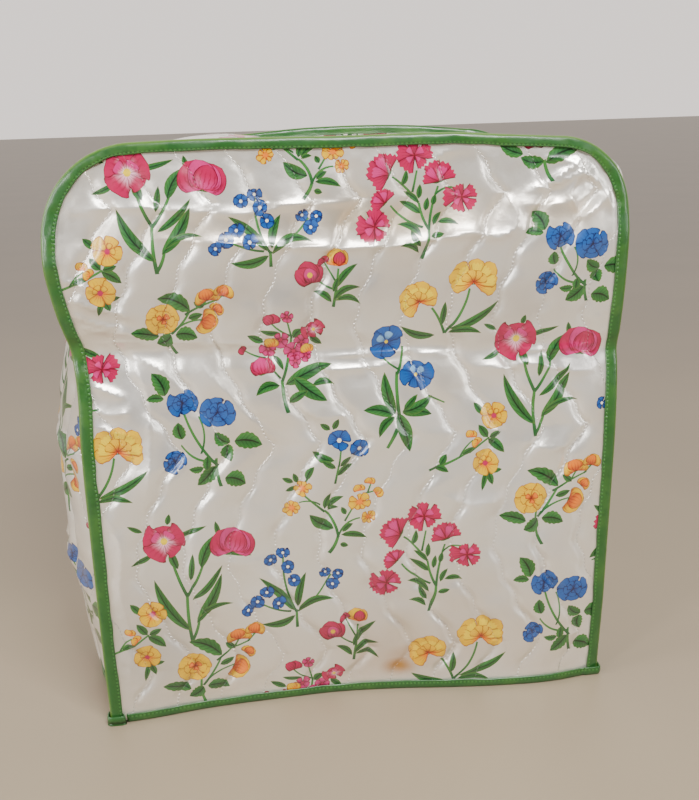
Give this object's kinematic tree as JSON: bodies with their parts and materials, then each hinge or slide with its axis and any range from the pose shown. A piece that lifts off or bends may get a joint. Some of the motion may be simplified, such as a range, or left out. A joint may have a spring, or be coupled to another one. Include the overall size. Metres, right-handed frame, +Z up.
{
  "type": "mixer cover",
  "caption": "Loose fitted cover for a stand mixer: quilted vinyl panels and gusset with rounded top corners, seams and hem bound in folded tape, open underneath.",
  "frame": {"origin": "under the middle of the cover's bounding box, on the surface that its hem stands on", "axes": "+Z up, +X across the front to the viewer's right, +Y from the front panel to the back panel"},
  "size_m": [0.4126, 0.2324, 0.4125],
  "materials": {
    "quilted_vinyl": "pearl-white quilted vinyl printed with flower sprigs, glossy, lightly creased",
    "binding_tape": "mid-green vinyl tape, folded and stitched, satin gloss"
  },
  "bodies": {
    "root": {"front_panel": "quilted_vinyl", "gusset": "quilted_vinyl", "back_panel": "quilted_vinyl", "binding_front": "binding_tape", "binding_back": "binding_tape", "binding_hem": "binding_tape"}
  },
  "joints": []
}
